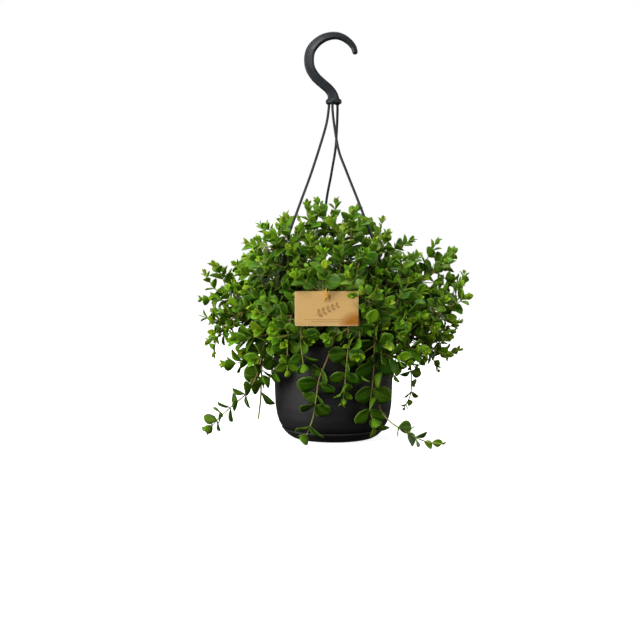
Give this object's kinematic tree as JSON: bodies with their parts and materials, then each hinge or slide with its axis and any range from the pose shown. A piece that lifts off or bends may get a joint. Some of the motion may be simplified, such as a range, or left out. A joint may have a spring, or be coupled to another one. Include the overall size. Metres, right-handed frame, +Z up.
{
  "type": "potted trailing jade peperomia",
  "caption": "Bushy trailing houseplant with round jade-green leaves in a dark plastic hanging pot with saucer, strands, hook and a plain kraft tag.",
  "frame": {"origin": "where a rail bears under the top of the hook's crook, on its inner face", "axes": "+Z up, -Y towards the front, where the tag hangs, +X to the right seen from the front"},
  "size_m": [0.3392, 0.2815, 0.5052],
  "materials": {
    "pot_plastic": "matte anthracite moulded plastic",
    "hanger_plastic": "satin dark bluish-grey moulded plastic",
    "soil": "crumbly dark brown potting soil",
    "kraft_card": "uncoated kraft card",
    "twine": "twisted jute twine",
    "foliage": "soft satin jade-green leaves on olive to reddish-brown stems"
  },
  "bodies": {
    "root": {"pot": "pot_plastic", "saucer": "pot_plastic", "hook": "hanger_plastic", "soil": "soil", "strand_1": "hanger_plastic", "strand_2": "hanger_plastic", "strand_3": "hanger_plastic", "tag_card": "kraft_card", "tag_twine": "twine", "stem_01": "foliage", "stem_02": "foliage", "stem_03": "foliage", "stem_04": "foliage", "stem_05": "foliage", "stem_06": "foliage", "stem_07": "foliage", "stem_08": "foliage", "stem_09": "foliage", "stem_10": "foliage", "stem_11": "foliage", "stem_12": "foliage", "stem_13": "foliage", "stem_14": "foliage", "stem_15": "foliage", "stem_16": "foliage", "stem_17": "foliage", "stem_18": "foliage", "stem_19": "foliage", "stem_20": "foliage", "stem_21": "foliage", "stem_22": "foliage", "stem_23": "foliage", "stem_24": "foliage", "stem_25": "foliage", "stem_26": "foliage", "stem_27": "foliage", "stem_28": "foliage", "stem_29": "foliage", "stem_30": "foliage", "stem_31": "foliage", "stem_32": "foliage", "stem_33": "foliage", "stem_34": "foliage", "stem_35": "foliage", "stem_36": "foliage", "stem_37": "foliage", "stem_38": "foliage", "stem_39": "foliage", "stem_40": "foliage", "stem_41": "foliage", "stem_42": "foliage", "stem_43": "foliage", "stem_44": "foliage", "stem_45": "foliage", "stem_46": "foliage", "stem_47": "foliage", "stem_48": "foliage", "stem_49": "foliage", "stem_50": "foliage", "stem_51": "foliage"}
  },
  "joints": []
}
